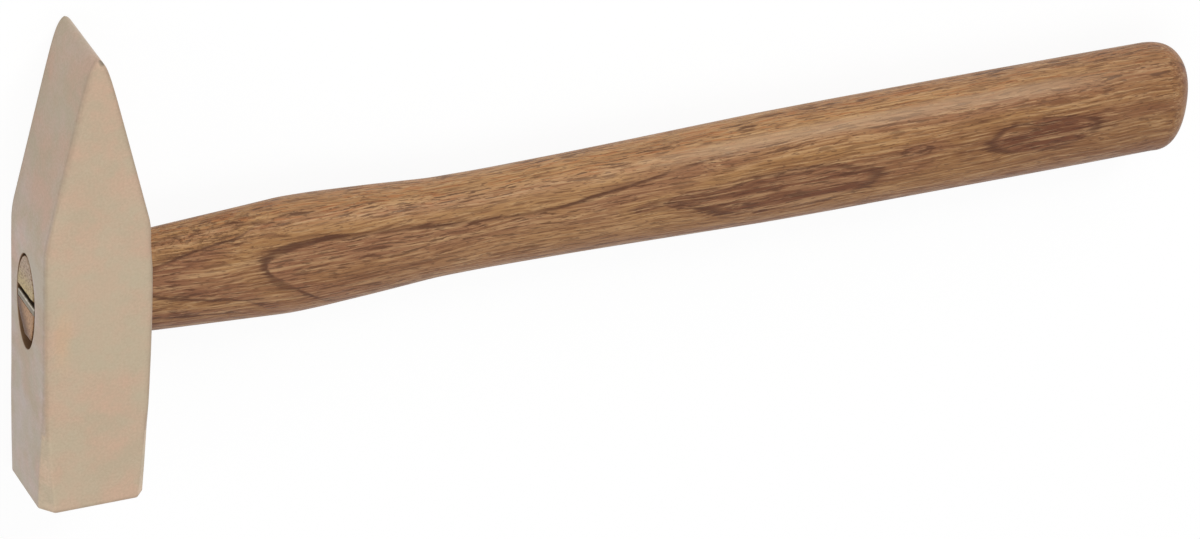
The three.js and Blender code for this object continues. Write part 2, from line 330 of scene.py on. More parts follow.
def addCamera():
    # The camera's right, up and back come from the three angles. It stands where the middle of the
    # eye falls on its pixel.
    azimuth, elevation, roll = (math.radians(view[key]) for key in ("azimuth", "elevation", "roll"))
    right = np.array([math.cos(azimuth), 0, -math.sin(azimuth)])
    back = np.array([math.sin(azimuth) * math.cos(elevation), math.sin(elevation),
                     math.cos(azimuth) * math.cos(elevation)])
    up = np.cross(back, right)
    turned = np.array([
        math.cos(roll) * right - math.sin(roll) * up,
        math.sin(roll) * right + math.cos(roll) * up,
        back])
    across, down = view["eyeCentre"]
    eyeFromCamera = np.array([across - view["imageWidth"] / 2, view["imageHeight"] / 2 - down,
                              -view["focal"]]) / view["pixelsPerMillimetre"]
    place = (np.array([0, 0, axisZ]) - turned.T @ eyeFromCamera) * mm
    data = bpy.data.cameras.new("camera")
    data.sensor_width = view["sensor"]
    data.lens = view["focal"] / view["imageWidth"] * view["sensor"]
    camera = addObject("camera", data)
    camera.matrix_world = Matrix.Translation(place) @ Matrix(turned.T.tolist()).to_4x4()
    bpy.context.scene.camera = camera


lamps = {  # direction from the hammer, distance and size in metres, share of plain light
    "overhead": {"from": (0.30, 0.80, 0.50), "distance": 1.4, "size": 0.9, "share": 0.30},
    "sheen": {"from": (0.37, 0.66, 0.65), "distance": 1.4, "size": 0.3, "share": 0.12},
    "front": {"from": (-0.10, -0.25, 0.95), "distance": 1.6, "size": 1.2, "share": 0.20},
    "left": {"from": (-0.92, 0.15, 0.36), "distance": 1.4, "size": 0.8, "share": 0.10},
}
surroundings = {
    "lampAim": (0.12, 0, 0.012), "fill": 0.50, "floorSize": 4.0, "floorColor": (0.92, 0.92, 0.92, 1),
    "floorRoughness": 0.9, "floorGlow": 0.9, "glowStrength": 1.02,
}


def addLamps():
    # Round lamps that face the aim. Power goes with the square of the distance, so that each lamp
    # gives its share of light there.
    for name, lamp in lamps.items():
        data = bpy.data.lights.new(name, "AREA")
        data.shape = "DISK"
        data.size = lamp["size"]
        data.energy = lamp["share"] * math.pi ** 2 * lamp["distance"] ** 2
        direction = Vector(lamp["from"]).normalized()
        light = addObject(name, data)
        light.location = Vector(surroundings["lampAim"]) + direction * lamp["distance"]
        light.rotation_euler = direction.to_track_quat("Z", "Y").to_euler()


def seenDirectly(tree):
    # 1 for camera, glossy and transmitted rays
    path = addNode(tree, "ShaderNodeLightPath").outputs
    both = calculate(tree, "MAXIMUM", path["Is Camera Ray"], path["Is Glossy Ray"])
    return calculate(tree, "MAXIMUM", both, path["Is Transmission Ray"])


def addSurroundings():
    # A world that is seen white but lights only by its fill, and a square floor whose glow is for
    # the same rays
    world = bpy.data.worlds.new("studio")
    world.use_nodes = True
    tree = world.node_tree
    background = tree.nodes["Background"].inputs
    background["Color"].default_value = (1, 1, 1, 1)
    tree.links.new(remap(tree, seenDirectly(tree), 0, 1, surroundings["fill"], 1, smooth=False),
                   background["Strength"])
    bpy.context.scene.world = world
    half = surroundings["floorSize"] / 2
    corners = [(-half, -half, 0), (half, -half, 0), (half, half, 0), (-half, half, 0)]
    mesh = bpy.data.meshes.new("floor")
    mesh.from_pydata(corners, [], [(0, 1, 2, 3)])
    floor = addObject("floor", mesh)
    material, tree, shader = newMaterial("paperFloor")
    shader["Base Color"].default_value = surroundings["floorColor"]
    shader["Roughness"].default_value = surroundings["floorRoughness"]
    shader["Specular IOR Level"].default_value = 0.0
    glow = addNode(tree, "ShaderNodeEmission", {"Strength": surroundings["glowStrength"]})
    share = times(tree, seenDirectly(tree), surroundings["floorGlow"])
    mix = addNode(tree, "ShaderNodeMixShader", {
        0: share, 1: tree.nodes["Principled BSDF"].outputs[0], 2: glow.outputs[0]})
    tree.links.new(mix.outputs[0], tree.nodes["Material Output"].inputs["Surface"])
    mesh.materials.append(material)


bpy.context.scene.view_settings.view_transform = "Standard"
addCamera()
addLamps()
addSurroundings()
print("camera, lamps and floor placed")

headSize = {
    "halfThickness": axisZ, "faceY": headLow.y / mm, "tipY": headHigh.y / mm, "shoulderY": 26.4,
    "tipX": -0.63, "noseLength": 1.2, "nosePower": 0.68,
    "tipCorners": (1.9, 0.45),  # rounding of the peen's upper and lower end
    "rimRadius": 0.95, "facetStartY": -25.0, "facetStartLeg": 0.3,
    "rimBite": 0.6,  # share of the rim's rounding that the facet legs lose
    "cornerShare": 0.8,  # the most that a corner takes up of the half width
    "radiusY": (-50, -30, -12, 20),  # where the four edge radii of each corner hold
    "radiusSoftness": 6.0, "shoulderSoftness": 0.7, "flankSoftness": 3.0, "eyeSoftness": 2.5,
    "facetLeg": 1.0, "softLeg": 1.2,  # a leg above the first makes a facet, one below the second an edge
    "farFromEdge": 9.0, "edgeWidth": 0.6,
    "eyeRim": 0.25, "eyeZoneY": 18.0,  # the side's grid bends round the eye within this height
    "sharpAngle": 60,
}
flanks = [  # how far the head reaches to -X and to +X at each Y, from the striking face
    (-55.6, 13.7, 13.6), (-45, 13.78, 13.8), (-35, 13.72, 13.9), (-25, 13.68, 14.22),
    (-14, 13.78, 14.5), (-5, 13.85, 14.6), (5, 13.92, 14.57), (11, 14.0, 14.45), (14.5, 14.0, 14.1),
    (18, 14.0, 13.85), (40, 14.0, 13.85)]
slopes = {-1: (20.5, 14.0, 0.2193), 1: (22.7, 13.93, 0.2548)}  # a point of each peen slope and its fall
corners = [  # side of X and Z, facet legs on cheek and side at the face, growth of the side's leg,
    # and edge radius at the face, at the facet's start, beside the eye and on the peen
    (1, 1, 2.2, 2.5, 1.0, (0.7, 0.9, 1.0, 0.9)),
    (1, -1, 2.2, 2.2, 1.0, (0.7, 1.0, 1.1, 0.6)),
    (-1, -1, 2.0, 2.2, 1.0, (1.2, 1.1, 1.1, 0.7)),
    (-1, 1, 3.3, 3.7, 0.62, (1.0, 1.7, 1.3, 1.1)),
]
eyeSections = [  # half height along Y and half width along Z of the oval hole, at each X
    (-15.2, 13.57, 6.45), (-13.9, 13.45, 6.35), (-7, 12.8, 5.8), (0, 12.4, 5.55), (7, 13.05, 6.9),
    (14.3, 14.1, 8.3), (16, 14.35, 8.6)]
eyeLean = {"innerX": 14.3, "outerX": -13.9, "y": -0.6, "z": -1.3}  # the outer mouth lies off the middle
headGrid = {"corner": (6, 6), "side": 56, "cheek": 30, "eye": 36, "rim": 7, "low": 70, "shoulder": 18,
            "slope": 82, "cap": 12, "bore": 40, "mouth": 5, "dark": 3}


def cornerProfile(cheekLeg, sideLeg, radius):
    # A chamfer with the two legs whose edges are rounded: distances in from the side and down from
    # the cheek, as arc, straight line and arc, beginning on the cheek
    arc, straight = headGrid["corner"]
    tilt = np.arctan2(sideLeg, cheekLeg)
    firstTurn = tilt * np.linspace(0, 1, arc + 1)
    lastTurn = tilt + (math.pi / 2 - tilt) * np.linspace(0, 1, arc + 1)
    firstCentre = cheekLeg + radius * np.tan(tilt / 2)
    lastCentre = sideLeg + radius * np.tan((math.pi / 2 - tilt) / 2)
    firstIn, firstDown = firstCentre - radius * np.sin(firstTurn), radius * (1 - np.cos(firstTurn))
    lastIn, lastDown = radius * (1 - np.sin(lastTurn)), lastCentre - radius * np.cos(lastTurn)
    part = np.linspace(0, 1, straight + 1)[1:-1]
    middleIn = firstIn[:, -1:] + (lastIn[:, :1] - firstIn[:, -1:]) * part
    middleDown = firstDown[:, -1:] + (lastDown[:, :1] - firstDown[:, -1:]) * part
    return np.hstack([firstIn, middleIn, lastIn]), np.hstack([firstDown, middleDown, lastDown])


def sideReach(y, sign):
    # The flank's reach, or the slope's where it is less, with the corner between them rounded off
    table = np.array(flanks)
    flank = smoothThrough(table[:, [0, 1 if sign < 0 else 2]], y, headSize["flankSoftness"])
    startY, reach, fall = slopes[sign]
    slope = reach - fall * (y - startY)
    soft = headSize["shoulderSoftness"]
    overlap = np.maximum(0, soft - np.abs(flank - slope))
    return np.minimum(flank, slope) - overlap ** 2 / (4 * soft)


def headRows():
    # For each ring: y, reach to -X and +X, reach to -Z and +Z, and each corner's legs and radius.
    # Towards the tip the half width dies away like an exponential of a power of the distance left.
    s, g = headSize, headGrid
    rim = quarterTurn(g["rim"])
    zone, lastY = s["eyeZoneY"], s["shoulderY"]
    y = np.concatenate([
        s["faceY"] + s["rimRadius"] * (1 - np.cos(rim)),
        np.linspace(s["faceY"] + s["rimRadius"], -zone, g["low"] + 1)[1:],
        np.linspace(-zone, zone, g["side"] + 1)[1:],
        np.linspace(zone, lastY, g["shoulder"] + 1)[1:],
        s["tipY"] - (s["tipY"] - lastY) * (1 - np.linspace(0, 1, g["slope"] + 1)[1:]) ** 2])
    back = np.zeros(len(y))
    back[:len(rim)] = s["rimRadius"] * (1 - np.sin(rim))
    left = np.maximum(0, s["tipY"] - y) / s["noseLength"]
    nose = 1 - np.exp(-left ** s["nosePower"])
    reach, heights = {}, {}
    for sign, corner in zip((1, -1), s["tipCorners"]):
        tip = sign * s["tipX"]
        reach[sign] = (sideReach(y, sign) - back - tip) * nose + tip
        over = np.maximum(0, y - (s["tipY"] - corner))
        drop = corner - np.sqrt(np.maximum(0, corner ** 2 - over ** 2))
        heights[sign] = s["halfThickness"] - back - drop
    most = s["cornerShare"] * (reach[-1] + reach[1]) / 2  # so that corners close along the peen's edge
    down = np.clip((s["facetStartY"] - y) / (s["facetStartY"] - s["faceY"]), 0, 1)
    legs = []
    for _, _, cheekLeg, sideLeg, growth, radii in corners:
        radius = smoothThrough(list(zip(s["radiusY"], radii)), y, s["radiusSoftness"])
        radius = np.minimum(radius, most)
        least = (2 - math.sqrt(2)) * radius
        pair = [s["facetStartLeg"] + (leg - s["facetStartLeg"]) * down ** power - s["rimBite"] * back
                for leg, power in ((cheekLeg, 1.0), (sideLeg, growth))]
        legs.append((*(np.clip(leg, least, most) for leg in pair), radius))
    return y, reach, heights, legs


def headRings():
    # Each section's outline in order: +X+Z corner, +X side, +X-Z corner, lower cheek, -X-Z corner,
    # -X side, -X+Z corner and upper cheek, with each point's distance to the nearest soft edge and
    # its place on a facet
    y, reach, heights, legs = headRows()
    s, g = headSize, headGrid
    arc, straight = g["corner"]
    rise = np.linspace(0, 1, arc + 1)
    facetPart = np.concatenate([rise, np.ones(straight - 1), rise[::-1]])
    parts = []
    for index, (signX, signZ, *_) in enumerate(corners):
        inX, inZ = cornerProfile(*(leg[:, None] for leg in legs[index]))
        onFacet = facetPart * (legs[index][0] > s["facetLeg"])[:, None]
        x, z = signX * (reach[signX][:, None] - inX), signZ * (heights[signZ][:, None] - inZ)
        part = np.stack([x, z, onFacet])
        parts.append(part if index % 2 == 0 else part[..., ::-1])
    ring = []
    for index, part in enumerate(parts):
        start, end = part[..., -1:], parts[(index + 1) % 4][..., :1]
        count = g["side"] if index % 2 == 0 else g["cheek"]
        ring += [part, start + (end - start) * np.linspace(0, 1, count + 1)[1:-1]]
    x, z, facet = np.concatenate(ring, -1)
    near = np.full(x.shape, s["farFromEdge"])
    for (signX, signZ, *_), (cheekLeg, sideLeg, _) in zip(corners, legs):
        fromSide = reach[signX][:, None] - signX * x
        fromCheek = heights[signZ][:, None] - signZ * z
        nearest = np.minimum(np.hypot(fromSide - cheekLeg[:, None], fromCheek),
                             np.hypot(fromSide, fromCheek - sideLeg[:, None]))
        near = np.where(cheekLeg[:, None] > s["softLeg"], near, np.minimum(near, nearest))
    near[:g["rim"] + 1] = 0
    return np.stack([x, np.broadcast_to(y[:, None], x.shape), z], -1), near, facet


def eyeMiddle(x):
    # Where the eye's middle lies, along Y and along Z, at each X: on a line that leaves the axis
    part = np.maximum(0, (eyeLean["innerX"] - x) / (eyeLean["innerX"] - eyeLean["outerX"]))
    return part * eyeLean["y"], part * eyeLean["z"]


def eyeHalfSizes(x):
    # Soft curves through the eye's sections, along Y and along Z
    table = np.array(eyeSections, float)
    return [smoothThrough(table[:, [0, column]], x, headSize["eyeSoftness"]) for column in (1, 2)]


def bendRoundEye(zone, mouthY, mouthZ, shiftY, shiftZ):
    # The side's square grid is bent so that its central block's border lies on the eye's oval.
    # Each point moves along the line from its place on the oval to its place on the zone's border.
    size = headGrid["side"]
    step = np.linspace(-1, 1, size + 1)
    middleZ = (zone[:, :1, 2] + zone[:, -1:, 2]) / 2
    halfZ = (zone[:, -1:, 2] - zone[:, :1, 2]) / 2
    across = step * np.sign(halfZ)
    up = step[:, None] + 0 * step
    reach = np.maximum(np.abs(across), np.abs(up))
    inner = headGrid["eye"] / size
    part = np.clip((reach - inner) / (1 - inner), 0, 1)
    safe = np.where(reach > 0, reach, 1)
    unitAcross, unitUp = across / safe, up / safe
    angle = math.pi / 4 * np.where(
        np.abs(unitAcross) >= np.abs(unitUp),
        np.where(unitAcross > 0, unitUp, 4 - unitUp),
        np.where(unitUp > 0, 2 - unitAcross, 6 + unitAcross))
    ovalY, ovalZ = shiftY + mouthY * np.sin(angle), shiftZ + mouthZ * np.cos(angle)
    bentY = ovalY + part * (unitUp * headSize["eyeZoneY"] - ovalY)
    bentZ = ovalZ + part * (middleZ + unitAcross * np.abs(halfZ) - ovalZ)
    return bentY, bentZ, angle


def openEye(points):
    # Bends both sides of the rings round the eye. Gives which faces stay and, for the inner and the
    # outer mouth, the numbers and angles of the points on its oval.
    g, rim = headGrid, headSize["eyeRim"]
    count = points.shape[1]
    stay = np.ones((len(points) - 1, count), bool)
    firstRow = g["rim"] + g["low"]
    firstColumn = 2 * g["corner"][0] + g["corner"][1]  # the last point of the first corner
    low = (g["side"] - g["eye"]) // 2
    high = low + g["eye"]
    steps = np.arange(g["eye"])
    borderRow = np.concatenate([low + 0 * steps, low + steps, high + 0 * steps, high - steps])
    borderColumn = np.roll(borderRow, -g["eye"])
    mouths = []
    for sign, column in ((1, firstColumn), (-1, firstColumn + count // 2)):
        zone = slice(firstRow, firstRow + g["side"] + 1), slice(column, column + g["side"] + 1)
        mouthX = sign * sideReach(np.zeros(1), sign)
        halfY, halfZ = eyeHalfSizes(mouthX)
        y, z, angle = bendRoundEye(points[zone], halfY + rim, halfZ + rim, *eyeMiddle(mouthX))
        points[zone] = np.stack([sign * sideReach(y, sign), y, z], -1)
        stay[firstRow + low:firstRow + high, column + low:column + high] = False
        numbers = (firstRow + borderRow) * count + column + borderColumn
        mouths.append((numbers, angle[borderRow, borderColumn]))
    return stay, *mouths


def boreRings(angle):
    # Ovals from the outer mouth to the inner one: the eye's middle plus its half sizes times sine
    # and cosine of the angle, flared by a small quarter round at each mouth
    g, rim = headGrid, headSize["eyeRim"]
    turns = quarterTurn(g["mouth"])[1:]
    flare, depth = rim * (1 - np.sin(turns)), rim * (1 - np.cos(turns))
    mouthY = eyeHalfSizes(np.zeros(1))[0] * np.sin(angle)[None, :]
    outerX = -sideReach(mouthY, -1) + depth[:, None]
    innerX = sideReach(mouthY, 1) - depth[:, None]
    between = np.linspace(0, 1, g["bore"] + 1)[1:-1, None]
    x = np.concatenate([outerX, outerX[-1] + (innerX[-1] - outerX[-1]) * between, innerX[::-1]])
    flares = np.concatenate([flare, np.zeros(g["bore"] - 1), flare[::-1]])[:, None]
    (halfY, halfZ), (middleY, middleZ) = eyeHalfSizes(x), eyeMiddle(x)
    y, z = middleY + (halfY + flares) * np.sin(angle), middleZ + (halfZ + flares) * np.cos(angle)
    return np.stack([x, y, z], -1)


def buildHead(material):
    # The outer rings, the bore's rings and the striking face, which is the first ring shrunk to its
    # middle, joined by strips of quads
    s, g = headSize, headGrid
    points, near, facet = headRings()
    stay, (innerRing, innerAngle), (outerRing, outerAngle) = openEye(points)
    bore = boreRings(outerAngle)
    cap = points[0] * np.array([1, 0, 1]) * np.linspace(1, 0, g["cap"] + 1)[1:, None, None]
    cap[..., 1] = s["faceY"]
    boreStart = near.size
    capStart = boreStart + bore[..., 0].size
    around, ring = np.arange(len(outerRing)), np.arange(points.shape[1])
    apart = np.abs(np.angle(np.exp(1j * (innerAngle - outerAngle[:, None]))))
    faces = np.concatenate([
        gridFaces(len(points), len(ring))[stay],
        gridFaces(len(bore), len(around)).reshape(-1, 4) + boreStart,
        stripFaces(outerRing, boreStart + around),
        stripFaces(capStart - len(around) + around, innerRing[apart.argmin(1)]),
        gridFaces(g["cap"], len(ring))[..., ::-1].reshape(-1, 4) + capStart,
        stripFaces(capStart + ring, ring)])
    # The bore's painted shade comes in over its first rows
    inBore = np.clip((np.arange(len(bore)) - 1) / g["dark"], 0, 1)[:, None] + 0.0 * around
    capZero = np.zeros(cap[..., 0].size)
    fields = {
        "edge": np.concatenate([hump(near, 0, s["edgeWidth"]).ravel(), 0 * inBore.ravel(), capZero]),
        "facet": np.concatenate([facet.ravel(), 0 * inBore.ravel(), capZero]),
        "bore": np.concatenate([0 * near.ravel(), inBore.ravel(), capZero]),
    }
    allPoints = np.concatenate([part.reshape(-1, 3) for part in (points, bore, cap)])
    makePiece("headFinished", allPoints, faces, material, s["sharpAngle"], fields)


bronzeLook = {  # colours as they look on a screen, places and sizes in millimetres
    "cheek": (187, 165, 141), "sides": (195, 181, 175), "slopes": (191, 171, 154),
    # cut is a painted highlight that lightens the facets
    "cut": (220, 198, 172), "rose": (207, 171, 148), "green": (178, 169, 144),
    # boreShade is painted shade inside the eye
    "orange": (206, 168, 132), "edgeTone": (160, 140, 120), "boreShade": (128, 98, 70),
    "darkSpotTone": (118, 108, 92),
    "coats": [  # colour, strength, what it follows, where it begins and where it is full
        ("cut", 1.0, "facet"), ("rose", 0.55, "rosy"), ("orange", 0.4, "warmth"),
        ("green", 0.6, "greenish"), ("edgeTone", 0.24, "mottle", *noiseRange), ("edgeTone", 0.4, "rub"),
        ("boreShade", 1.0, "bore"), ("darkSpotTone", 0.8, "fromDarkSpot", 1.2, 0.4)],
    "cheekFacing": (0.35, 0.9), "slopesFrom": (14.0, 40.0),
    "warm": (-9.0, -5.0, 24.4), "warmSqueeze": (0.28, 0.075, 0.0), "warmReach": (1.0, 0.2),
    "rosySize": 17.0, "greenSize": 11.0, "greenShift": (31.0, 7.0, 53.0), "rubSize": 3.0,
    # a small dark round spot by the peen's tip
    "darkSpot": (0.1, 71.1, 23.6),
    "mottle": (1.6, 4, 0.6), "grit": (5.5, 3, 0.65), "swell": (0.12, 2),  # scale, detail, roughness
    "roughness": (0.52, 0.64), "mottleShare": 0.6, "rosyShare": 0.4, "metallic": 0.5, "specular": 0.5,
    "gritHeight": 0.03, "swellHeight": 0.35, "bump": 0.5, "bumpDistance": 1.0,
}


def bronzeMaterial():
    # Blasted bronze: a warm grey-gold, with faint rosy and green clouds, darker soft edges and a fine even
    # grit from blasting.
    # Painted light and shade: the cheeks are warmer and the sides and slopes greyer by the way each face
    # looks, a painted highlight lightens the facets, and painted shade darkens the eye's bore.
    look = bronzeLook
    material, tree, shader = newMaterial("paleBronze")
    place = millimetrePlace(tree)
    # Painted light and shade: warm on faces that look along Z, greyer on the sides and slopes that look away
    onCheek = remap(tree, calculate(tree, "ABSOLUTE", objectNormal(tree)["Z"]), *look["cheekFacing"])
    onSlope = remap(tree, separate(tree, place)["Y"], *look["slopesFrom"])
    tone = blend(tree, onCheek, blend(tree, onSlope, look["sides"], look["slopes"]), look["cheek"])
    fromWarm = vectorMath(tree, "SUBTRACT", place, look["warm"])
    squeezed = vectorMath(tree, "MULTIPLY", fromWarm, look["warmSqueeze"])
    warm = remap(tree, vectorMath(tree, "LENGTH", squeezed), *look["warmReach"])
    shifted = vectorMath(tree, "ADD", place, look["greenShift"])
    rosy = useGroup(tree, softClouds, {"Place": place, "Size": look["rosySize"]})["Cloud"]
    mottle = noiseAt(tree, place, *look["mottle"])
    rubbed = {"Place": place, "Edge": fieldOf(tree, "edge"), "Size": look["rubSize"]}
    tone = painted(tree, tone, look, look["coats"], {
        "facet": fieldOf(tree, "facet"), "rosy": rosy, "warmth": times(tree, warm, onCheek),
        "greenish": useGroup(tree, softClouds, {"Place": shifted, "Size": look["greenSize"]})["Cloud"],
        "mottle": mottle, "rub": useGroup(tree, edgeRub, rubbed)["Rub"],
        "bore": fieldOf(tree, "bore"), "fromDarkSpot": vectorMath(tree, "DISTANCE", place, look["darkSpot"])})
    uneven = weighted(tree, (mottle, look["mottleShare"]), (rosy, look["rosyShare"]))
    rough = remap(tree, uneven, *noiseRange, *look["roughness"])
    height = weighted(tree, (noiseAt(tree, place, *look["grit"]), look["gritHeight"]),
                      (noiseAt(tree, place, *look["swell"]), look["swellHeight"]))
    finishMaterial(tree, shader, look, tone, rough, height)
    return material


buildHead(bronzeMaterial())

handleSize = {
    "endX": handleLow.x / mm, "gap": 0.35, "mouthY": 12.6, "mouthZ": 5.85, "shift": (-0.15, -0.35),
    "fillsFromX": -8.0, "ovalPower": 2.0, "gripPower": 2.25, "squareByX": 54.0, "endBevel": 0.3,
    "dip": 0.06, "dipLengths": (60, 26, 26), "dipSeed": 4,  # unevenness of the hand-finished skin
    "dipRadius": 12,  # the distance from the axis at which the dip is as given
    "sharpAngle": 45,
}
gripEnd = {"startX": 295.2, "endX": 305.7, "roundness": 2.55, "leanY": 0.078, "leanZ": -0.131, "sag": -1.0}
handleSoftness = [  # how far the sections are smoothed into each other, at each X
    (handleSize["endX"], 0.5), (0, 2.0), (30, 5.0), (gripEnd["startX"] - 8, 6.0), (gripEnd["startX"], 0.5)]
handleDips = [(16, 0), (40, 1), (270, 1), (gripEnd["startX"], 0)]  # share of the dips at each X
pares = [  # where the tenon's lower half is bevelled: outward Y and Z, distance at the end, slope
    (-0.671, -0.742, 8.1, 0.446), (-0.999, 0.043, 10.05, 0.358)]
handleSections = [  # half height along Y and half thickness along Z, at each X
    (21, 14.2, 8.4), (38, 14.95, 9.4), (54, 15.6, 10.25), (62, 15.35, 10.3), (78, 14.3, 10.1),
    (94, 13.05, 9.75), (108, 12.95, 9.7), (132, 13.3, 10.05), (156, 13.85, 10.4), (184, 14.55, 10.8),
    (204, 14.75, 10.9), (250, 14.85, 10.95), (276, 14.85, 10.95), (295.2, 14.85, 10.42)]
handleGrid = {"around": 192, "tenon": 36, "length": 330, "dome": 26, "cap": 14, "bevel": 4}
kerfSize = {
    "mouthLow": -1.9, "mouthHigh": 2.05, "throatX": -7.0, "throatLow": -1.6, "throatHigh": 0.5,
    "endX": 9.0, "endHalf": 0.5, "endY": -0.7, "rows": 60,
    "chipDepth": 0.12, "chipLength": 3.1, "chipSeed": 12, "lipSlope": 0.03,
}


def ovalRings(x, halfY, halfZ, power):
    # Superellipse rings across X: each coordinate is a half size times a power of a cosine or sine
    angle = np.linspace(0, 2 * math.pi, handleGrid["around"], endpoint=False)[None, :]
    c, s = np.cos(angle), np.sin(angle)
    bend = 2 / power[:, None]
    y = halfY[:, None] * np.sign(c) * np.abs(c) ** bend
    z = halfZ[:, None] * np.sign(s) * np.abs(s) ** bend
    return np.stack([np.broadcast_to(x[:, None], y.shape), y, z], -1)


def handleHalfSizes(x):
    # Tenon, neck and grip in one run of soft curves: the tenon follows the eye, less a gap
    s = handleSize
    inEye = [(at, halfY - s["gap"], halfZ - s["gap"])
             for at, halfY, halfZ in eyeSections[:-1] if s["fillsFromX"] < at]
    table = np.array([(s["endX"], s["mouthY"], s["mouthZ"]), *inEye, *handleSections])
    softness = np.interp(x, *zip(*handleSoftness))
    return [smoothThrough(table[:, [0, column]], x, softness) for column in (1, 2)]


def buildHandle(material):
    # Oval rings from the tenon to the grip, a sawn end made of shrinking rings, and a dome
    s, g, e = handleSize, handleGrid, gripEnd
    innerX = headHigh.x / mm
    x = np.concatenate([np.linspace(s["endX"] + s["endBevel"], innerX, g["tenon"] + 1)[:-1],
                        np.linspace(innerX, e["startX"], g["length"] + 1)])
    halfY, halfZ = handleHalfSizes(x)
    power = np.interp(x, [handleSections[0][0], s["squareByX"]], [s["ovalPower"], s["gripPower"]])
    body = ovalRings(x, halfY, halfZ, power)
    body[..., 1:] += np.clip(x / s["endX"], 0, 1)[:, None, None] * np.array(s["shift"])
    body[..., 1:] += np.stack(eyeMiddle(x), -1)[:, None]
    wobble = softWander(body.reshape(-1, 3), s["dipLengths"], s["dipSeed"]).reshape(body.shape[:2])
    inward = s["dip"] * (wobble - 1) * np.interp(x, *zip(*handleDips))[:, None]
    body[..., 1:] *= (1 + inward / s["dipRadius"])[..., None]
    for outY, outZ, distance, slope in pares:
        limit = distance + slope * (x - s["endX"])[:, None]
        outward = np.maximum(body[..., 1] * outY + body[..., 2] * outZ, 1e-6)
        body[..., 1:] *= np.minimum(1, limit / outward)[..., None]
    # The dome shrinks the last section along a squarish quarter curve, leans and sags a little
    along = np.sin(quarterTurn(g["dome"])[1:]) ** (2 / e["roundness"])
    scale = np.maximum(0, 1 - along ** e["roundness"]) ** (1 / e["roundness"])
    dome = body[-1][None] * np.array([0, 1, 1]) * scale[:, None, None]
    reach = e["endX"] - e["startX"] + e["leanY"] * dome[..., 1] + e["leanZ"] * dome[..., 2]
    dome[..., 0] = e["startX"] + reach * along[:, None]
    dome[..., 1] += e["sag"] * along[:, None]
    # The sawn end: the last ring shrinks to its middle, inside a small bevel
    turn = quarterTurn(g["bevel"])[:-1]
    bevelScale = 1 - s["endBevel"] * (1 - np.sin(turn)) / s["mouthZ"]
    capScale = np.concatenate([np.linspace(0, 1, g["cap"])[:-1] * bevelScale[0], bevelScale])
    cap = body[0][None] * np.array([0, 1, 1]) * capScale[:, None, None]
    bevelX = s["endX"] + s["endBevel"] * (1 - np.cos(turn))
    cap[..., 0] = np.concatenate([np.full(g["cap"] - 1, s["endX"]), bevelX])[:, None]
    rings = np.concatenate([cap, body, dome])
    faces = gridFaces(len(rings), g["around"])
    handle = makePiece("handleFinished", rings, faces, material, s["sharpAngle"])
    cutKerf(handle)
    finishShading(handle.data, s["sharpAngle"])
    storeWoodFields(handle.data)


def cutKerf(handle):
    # The saw cut and its chipped lip: a prism across Z whose outline wavers from row to row
    k = kerfSize
    endX = handleSize["endX"]
    outline = [
        (endX - 1, k["mouthLow"]), (k["throatX"], k["throatLow"]), (k["endX"], k["endY"] - k["endHalf"]),
        (k["endX"], k["endY"] + k["endHalf"]), (k["throatX"], k["throatHigh"]), (endX, k["mouthHigh"]),
        (endX - 1, k["mouthHigh"])]
    count = len(outline)
    z = np.linspace(-axisZ, axisZ, k["rows"])
    wander = softWander(np.stack([z * 0, z * 0, z], -1), k["chipLength"], k["chipSeed"])
    points = np.zeros((k["rows"], count, 3))
    points[..., :2] = outline
    points[..., 2] = z[:, None]
    points[:, -2:, 1] += (wander * k["chipDepth"] + k["lipSlope"] * z)[:, None]
    quads = gridFaces(k["rows"], count).reshape(-1, 4).tolist()
    ends = [list(range(count))[::-1], list(range((k["rows"] - 1) * count, k["rows"] * count))]
    mesh = newMesh("kerfCutter", points, quads + ends)
    cutter = addObject("kerfCutter", mesh)
    cut = handle.modifiers.new("kerf", "BOOLEAN")
    cut.operation = "DIFFERENCE"
    cut.solver = "EXACT"
    cut.object = cutter
    bpy.context.view_layer.update()
    evaluated = handle.evaluated_get(bpy.context.evaluated_depsgraph_get())
    result = bpy.data.meshes.new_from_object(evaluated)
    handle.modifiers.clear()
    handle.data = result
    bpy.data.objects.remove(cutter)
    bpy.data.meshes.remove(mesh)


growth = {  # one growth ring's sheet, which the handle's swell cuts through
    "spread": 64.0,  # the sheet drops by the square of the distance from its crest over this
    "sheet": [  # X, the crest's Y and the sheet's height there
        (16, 8.4, 10.4), (30, 8.4, 10.0), (40, 8.4, 9.75), (44.5, 8.4, 9.3), (47, 5.83, 9.4),
        (50, 4.87, 9.32), (53.5, 3.3, 9.04), (57.5, 0.9, 8.49), (66, -6, 6.37), (80, -12, 3.43),
        (94, -12, 3.89), (104, -12, 4.34), (125, -12, 4.84), (142, -9, 4.73), (158, -5, 5.18),
        (179, -3, 4.63), (203, -1, 3.64), (233, 0, 2.96), (306, 0, 2.6)],
    "below": [(40, 3.5), (60, 9.0)],  # ring width under the sheet, at each X
    "share": [(44, 0.3), (60, 0.42), (140, 0.5), (162, 0.84)],  # part of a ring that shows above it
    "sheetSoftness": 1.5, "belowSoftness": 6.0, "shareSoftness": 8.0,
    "crownSamples": (320, 61), "crownReach": 0.95, "leastPeak": 0.25,
    "wander": 0.04, "wanderLengths": (90, 9, 9), "wanderSeed": 21,
    "hillSteepness": 1.4, "hillHeight": 6,  # a figure's hill is full at this height above the axis
}
figures = [  # where the next ring just shows: centre x and y, half length, half width, slope, lift
    (147, 0.8, 6, 2.0, 0.0, 0.56), (160, 1.2, 8, 2.6, 0.0, 0.54), (189, -1.5, 27, 9.5, -0.05, 0.52),
    (224, 3.4, 6, 2.2, 0.0, 0.36), (260, 1.6, 19, 6.2, -0.04, 0.45),
]
